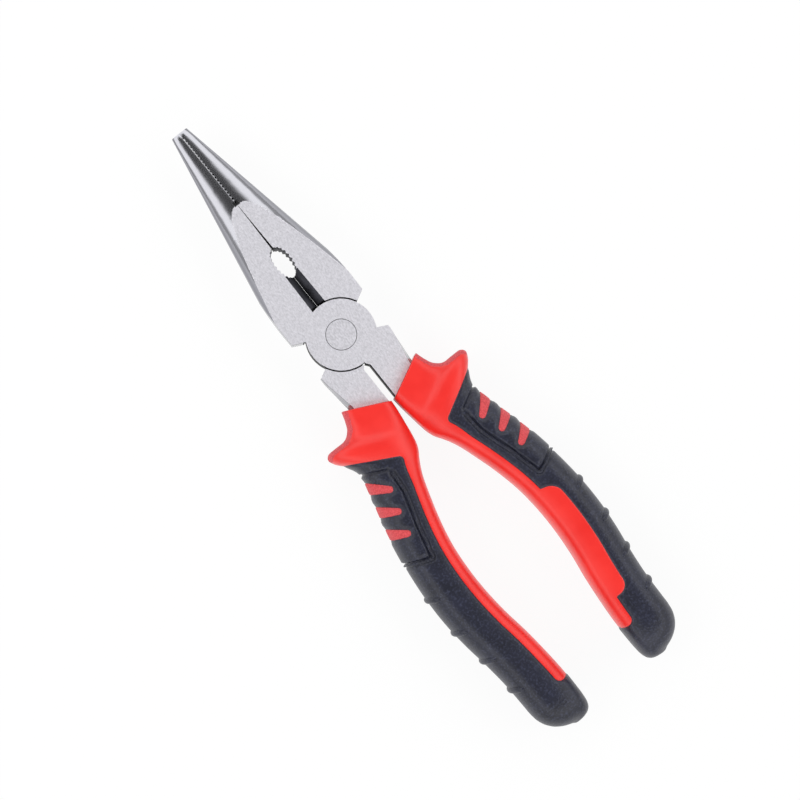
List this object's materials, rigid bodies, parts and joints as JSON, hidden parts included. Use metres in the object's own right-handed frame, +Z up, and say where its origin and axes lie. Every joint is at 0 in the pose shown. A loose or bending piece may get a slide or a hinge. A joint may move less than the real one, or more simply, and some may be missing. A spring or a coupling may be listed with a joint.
{
  "type": "long-nose combination pliers",
  "caption": "Long-nose pliers with a toothed pipe grip, side cutter, flush rivet lap joint and two-material comfort grips with thumb guards.",
  "frame": {"origin": "on the resting surface, under the middle of the tool's overall box", "axes": "+Y along the centre plane towards the jaw tips, +Z up through the thickness and along the rivet, +X to the right with the tips pointing away"},
  "size_m": [0.0554, 0.199, 0.018],
  "materials": {
    "forged_steel": "ground cheeks, polished nose, dark unground cutter recess",
    "rivet_steel": "ground flush with the cheeks",
    "red_plastic": "satin moulded hard plastic",
    "grey_cover": "matt soft elastomer with a fine mould texture"
  },
  "bodies": {
    "left_jaw_lever": {"left_jaw_half": "forged_steel", "pivot_rivet": "rivet_steel", "right_grip_sleeve": "red_plastic", "right_grip_cover": "grey_cover"},
    "right_jaw_lever": {"right_jaw_half": "forged_steel", "left_grip_sleeve": "red_plastic", "left_grip_cover": "grey_cover"}
  },
  "joints": [
    {"name": "jaw_pivot", "type": "hinge", "parent": "left_jaw_lever", "child": "right_jaw_lever", "pos_m": [0, 0.0267, 0.009], "axis": [0, 0, -1], "range_deg": [0, 50]}
  ]
}
